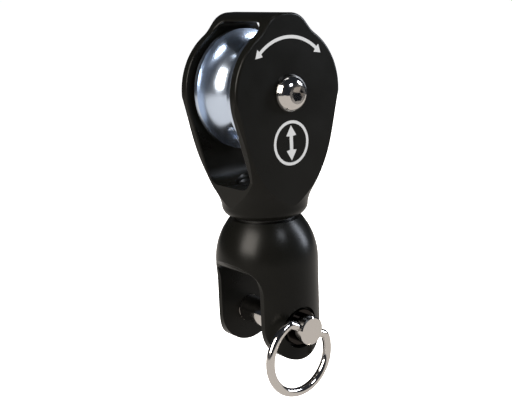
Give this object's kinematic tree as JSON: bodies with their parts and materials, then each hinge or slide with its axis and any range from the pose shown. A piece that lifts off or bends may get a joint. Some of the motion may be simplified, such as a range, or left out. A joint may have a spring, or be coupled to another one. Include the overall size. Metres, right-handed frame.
{
  "type": "single sheave block",
  "caption": "Single pulley block: grooved sheave on ball bearings between two cheeks, on a swivelling clevis jaw closed by a quick-release pin with a pull ring.",
  "frame": {"origin": "on the clevis pin's axis, midway between the jaw's two ears", "axes": "+Y along the clevis pin and the sheave axle, away from the pull ring; +Z from the jaw up to the sheave along the swivel axis; +X across the cheeks"},
  "size_m": [0.05, 0.0503, 0.1446],
  "materials": {
    "black_anodised": "satin black hard anodised",
    "polished_aluminium": "polished",
    "stainless_polished": "polished stainless steel",
    "bearing_steel": "ground bearing steel",
    "spring_steel": "oil-blackened spring steel",
    "seal_rubber": "moulded nitrile",
    "cage_polyamide": "moulded polyamide",
    "bronze": "turned bronze",
    "acetal": "turned black acetal"
  },
  "bodies": {
    "jaw": {"jaw": "black_anodised", "locking_screw": "spring_steel", "swivel_bolt": "stainless_polished", "gap_washer": "acetal", "thrust_race_upper": "bearing_steel"},
    "housing": {"housing": "black_anodised", "axle_sleeve": "stainless_polished", "axle_screw_near": "stainless_polished", "axle_screw_far": "stainless_polished", "spacer_near": "stainless_polished", "spacer_far": "stainless_polished", "bearing_spacer": "bearing_steel", "swivel_bush": "bronze", "thrust_race_lower": "bearing_steel", "thrust_balls": "bearing_steel", "thrust_cage": "cage_polyamide", "bearing_near_inner_ring": "bearing_steel", "bearing_far_inner_ring": "bearing_steel", "bearing_near_balls": "bearing_steel", "bearing_far_balls": "bearing_steel", "bearing_near_cage": "cage_polyamide", "bearing_far_cage": "cage_polyamide"},
    "sheave": {"sheave": "polished_aluminium", "retaining_clip_near": "spring_steel", "retaining_clip_far": "spring_steel", "bearing_near_outer_ring": "bearing_steel", "bearing_far_outer_ring": "bearing_steel", "bearing_near_seal": "seal_rubber", "bearing_far_seal": "seal_rubber"},
    "pin": {"clevis_pin": "stainless_polished", "detent_spring": "spring_steel"},
    "ball": {"detent_ball": "bearing_steel"},
    "ring": {"pull_ring": "stainless_polished"}
  },
  "joints": [
    {"name": "jaw_swivel", "type": "hinge", "parent": "jaw", "child": "housing", "pos_m": [0, 0, 0.0445], "axis": [0, 0, 1], "continuous": true},
    {"name": "sheave_spin", "type": "hinge", "parent": "housing", "child": "sheave", "pos_m": [0, 0, 0.09], "axis": [0, 1, 0], "continuous": true},
    {"name": "pin_pull", "type": "slide", "parent": "jaw", "child": "pin", "axis": [0, -1, 0], "range_m": [0, 0.07]},
    {"name": "detent_out", "type": "slide", "parent": "pin", "child": "ball", "axis": [0, 0, 1], "range_m": [0, 0.0009], "stiffness_N_per_m": 300, "springref_m": 0.004, "deforming": ["detent_spring"]},
    {"name": "ring_swing", "type": "hinge", "parent": "pin", "child": "ring", "pos_m": [0, -0.023, 0], "axis": [-0.9026, 0, 0.4305], "range_deg": [0, 175]}
  ]
}
